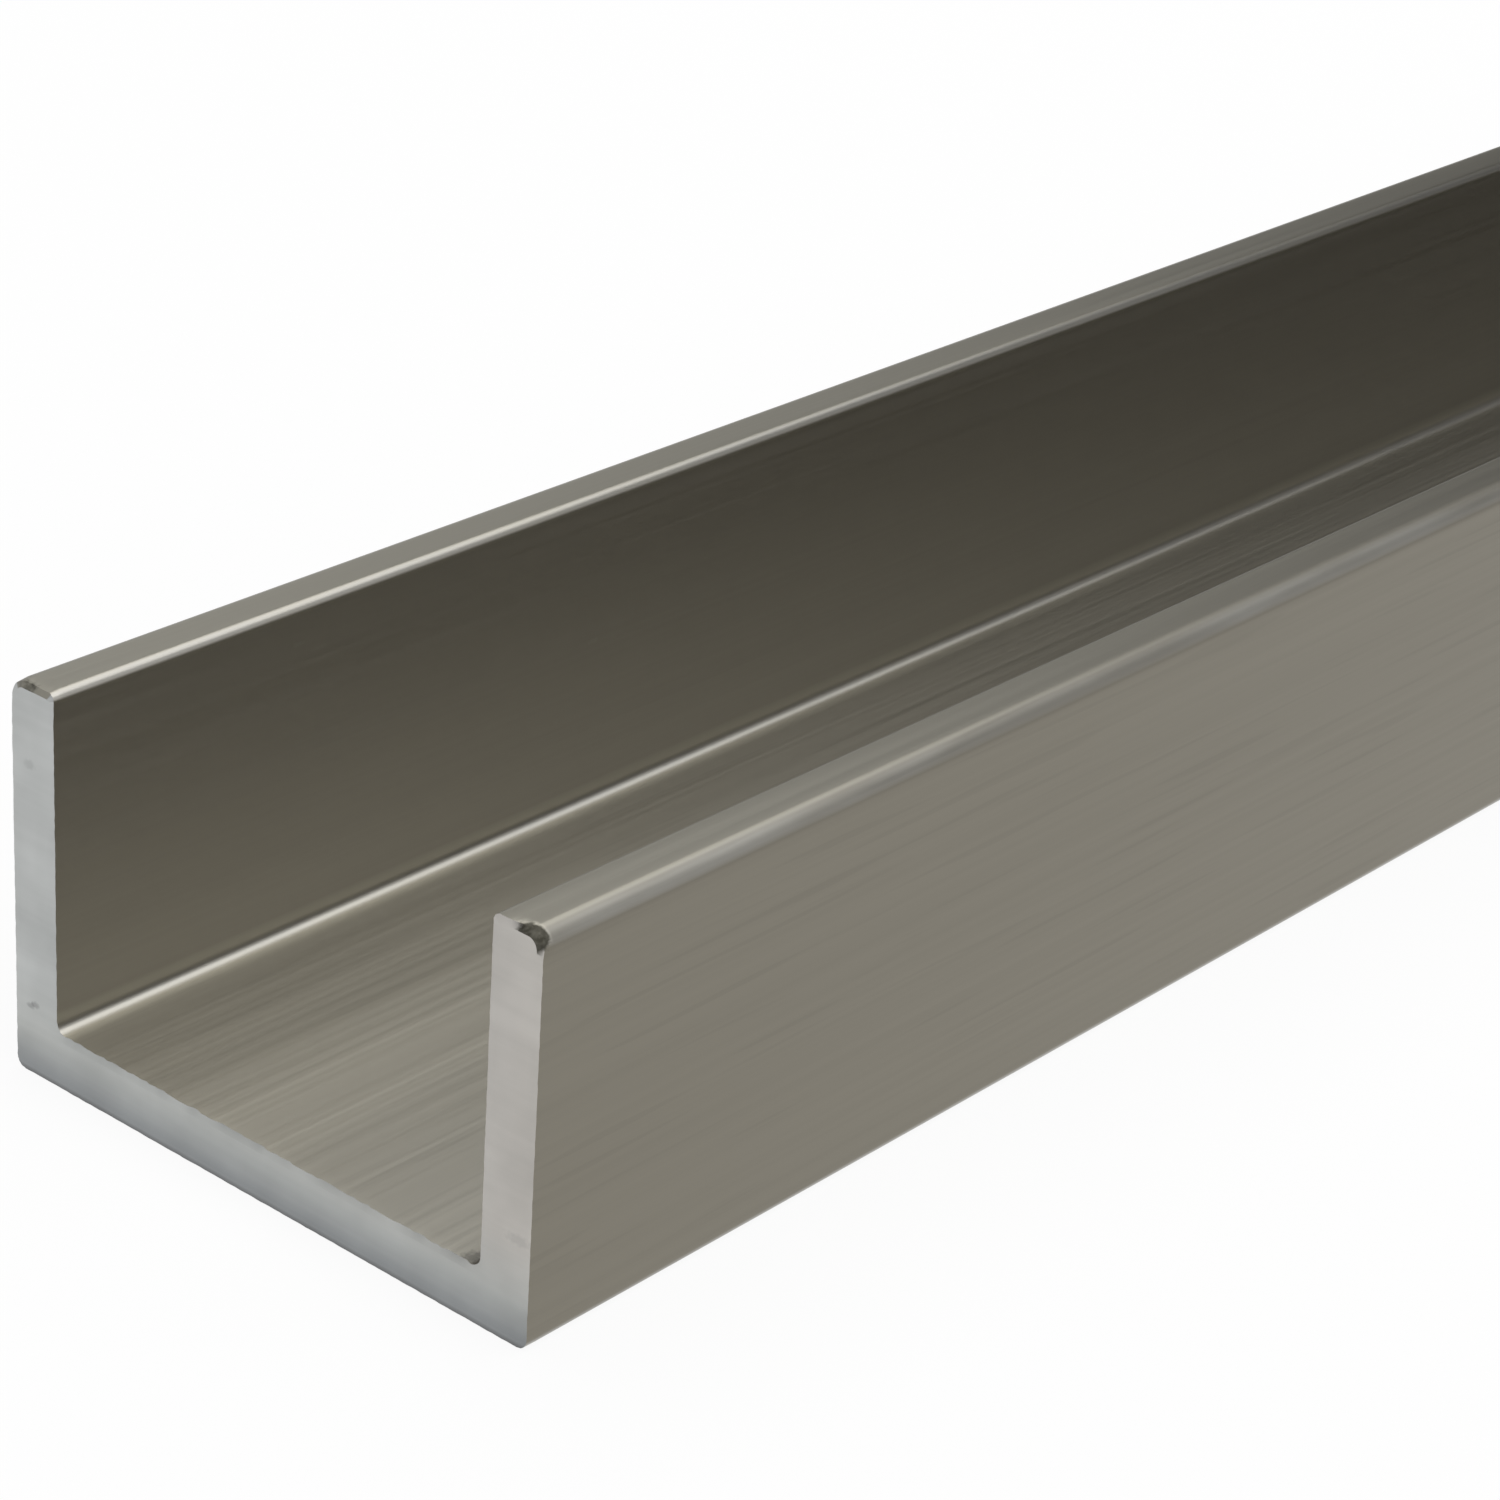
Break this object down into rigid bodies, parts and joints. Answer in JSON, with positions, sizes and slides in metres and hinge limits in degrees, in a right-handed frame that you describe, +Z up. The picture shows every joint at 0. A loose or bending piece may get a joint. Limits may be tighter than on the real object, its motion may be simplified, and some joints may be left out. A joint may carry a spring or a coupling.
{
  "type": "metal channel section",
  "caption": "Straight length of extruded aluminium U channel with flat web, upright flanges, softly rounded long edges and sawn square ends.",
  "frame": {"origin": "on the floor under the web, at the middle of the length and of the web", "axes": "+X along the length, +Y across the web, +Z up from the web towards the flange tips"},
  "size_m": [0.3, 0.023, 0.014],
  "materials": {
    "channel": "satin mill finish with fine lines along the length, sawn bare at the ends"
  },
  "bodies": {
    "root": {"channel": "channel"}
  },
  "joints": []
}
